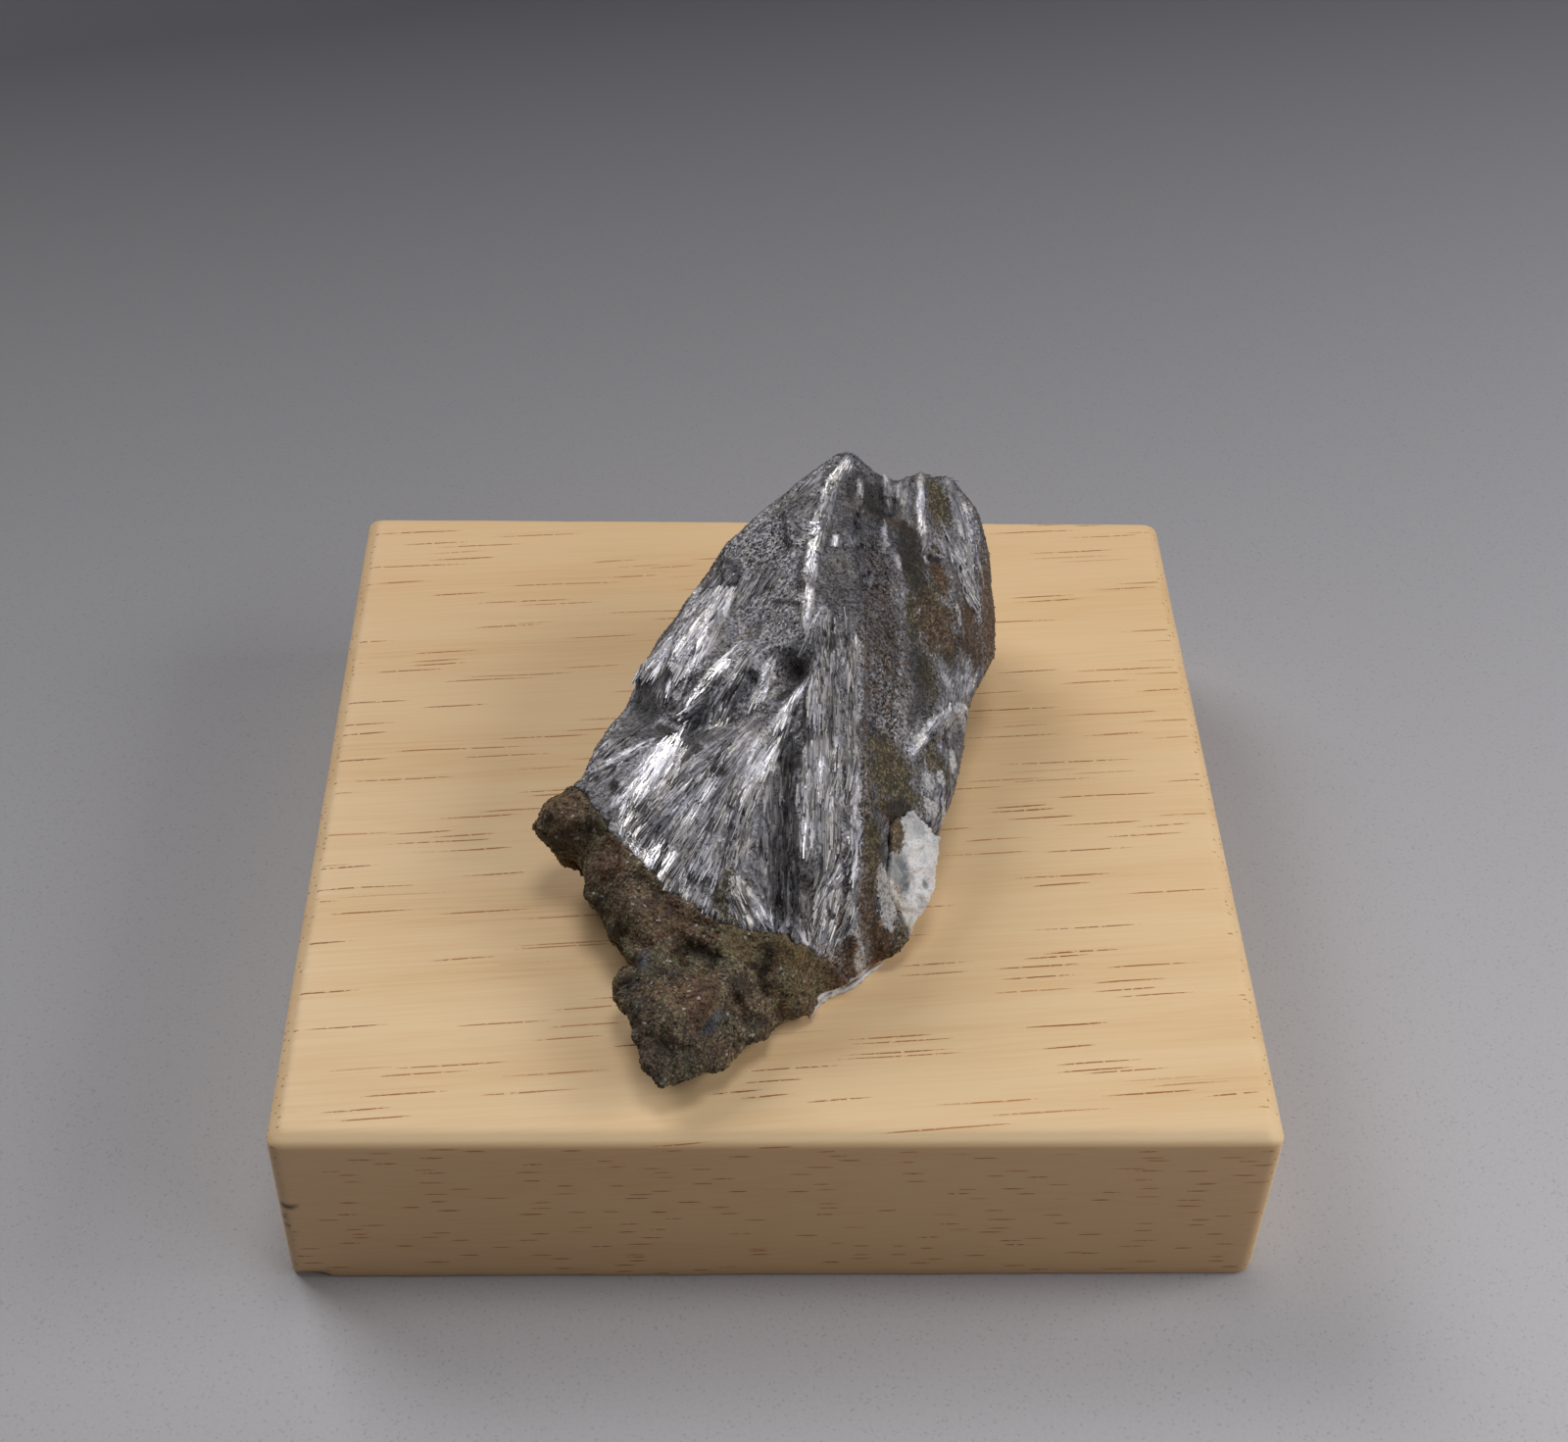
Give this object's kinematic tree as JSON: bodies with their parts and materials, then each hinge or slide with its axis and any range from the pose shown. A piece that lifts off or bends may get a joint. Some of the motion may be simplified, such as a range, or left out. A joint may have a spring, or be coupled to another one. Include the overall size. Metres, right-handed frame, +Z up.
{
  "type": "cosalite mineral specimen on a wooden block",
  "caption": "Metallic grey mineral specimen of radiating blade crystals on dark granular rock with white quartz, resting on a low square pine block.",
  "frame": {"origin": "middle of the wooden block's underside", "axes": "+X along the block's grain, +Y to the back, +Z up; the specimen's crest points to +Y"},
  "size_m": [0.089, 0.087, 0.0462],
  "materials": {
    "cosalite": "metallic, silver to lead grey, striated and splendent on the crystal blades",
    "matrix": "dull granular rock, dark olive brown with rust and green",
    "quartz": "milky white to grey, waxy and slightly translucent",
    "pine": "bare planed pine, satin, fine straight grain"
  },
  "bodies": {
    "root": {"cosalite_crystals": "cosalite", "matrix_rock": "matrix", "quartz_vein": "quartz", "wood_block": "pine"}
  },
  "joints": []
}
